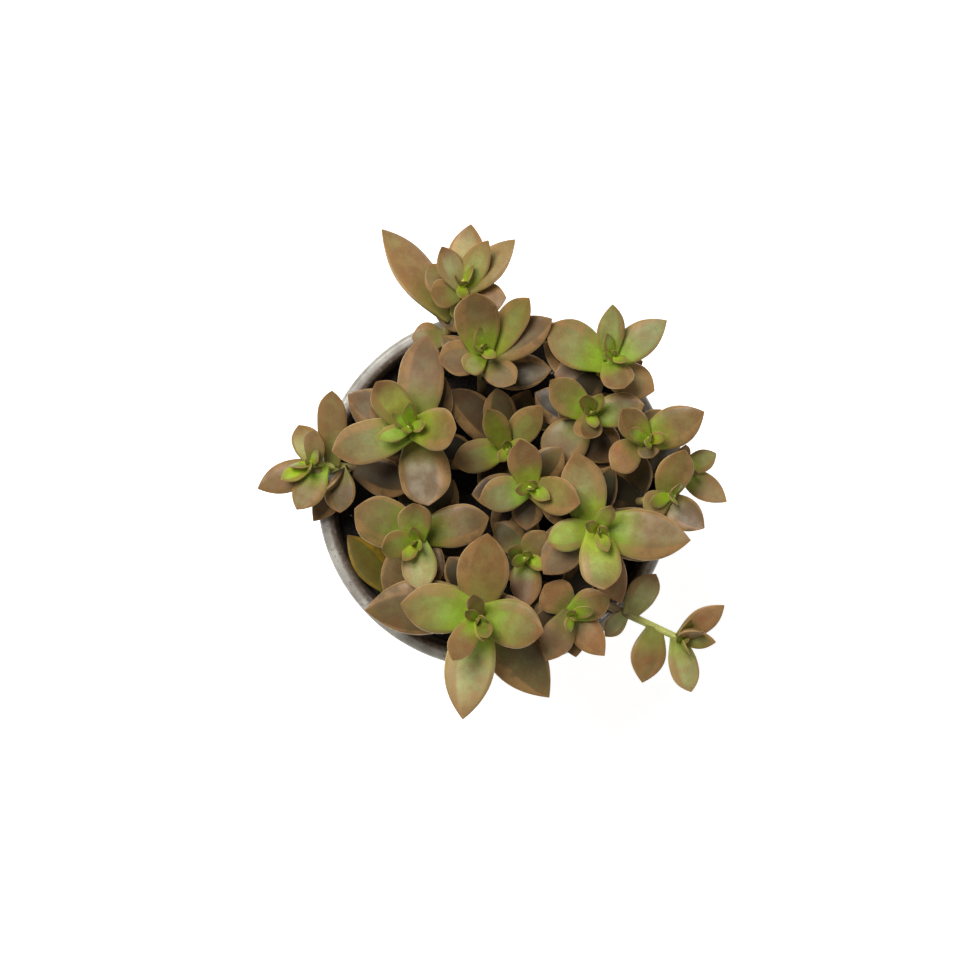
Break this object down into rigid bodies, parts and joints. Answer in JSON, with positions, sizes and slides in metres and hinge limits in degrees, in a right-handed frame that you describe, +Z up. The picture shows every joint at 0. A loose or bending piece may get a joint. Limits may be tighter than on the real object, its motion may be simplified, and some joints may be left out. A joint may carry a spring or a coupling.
{
  "type": "potted succulent",
  "caption": "Potted sedum: plump pointed leaves in bronze and green rosettes on leafy stems, in dark soil in a round grey nursery pot, one stem trailing over the rim.",
  "frame": {"origin": "middle of the pot's flat underside, on the surface it stands on", "axes": "+Z up along the pot's axis; +Y towards the top of the plant as seen from above, +X to the right"},
  "size_m": [0.1323, 0.1366, 0.1257],
  "materials": {
    "grey_plastic": "light grey moulded plastic, satin, with a glossier rounded lip",
    "potting_soil": "damp near-black potting mix with crumbs and a few pale grains",
    "bronze_leaf": "waxy succulent leaf, green at the base and bronze-brown towards the tip, soft sheen",
    "yellow_leaf": "yellowed fallen leaf, dull"
  },
  "bodies": {
    "root": {"pot": "grey_plastic", "soil": "potting_soil", "stem_north": "bronze_leaf", "stem_north_inner": "bronze_leaf", "stem_northwest": "bronze_leaf", "stem_west": "bronze_leaf", "stem_southwest": "bronze_leaf", "stem_south": "bronze_leaf", "stem_centre": "bronze_leaf", "stem_north_centre": "bronze_leaf", "stem_northeast_inner": "bronze_leaf", "stem_northeast": "bronze_leaf", "stem_east": "bronze_leaf", "stem_east_low": "bronze_leaf", "stem_far_east": "bronze_leaf", "stem_southeast": "bronze_leaf", "stem_south_centre": "bronze_leaf", "stem_south_southeast": "bronze_leaf", "stem_trailing": "bronze_leaf", "old_leaf": "yellow_leaf"}
  },
  "joints": []
}
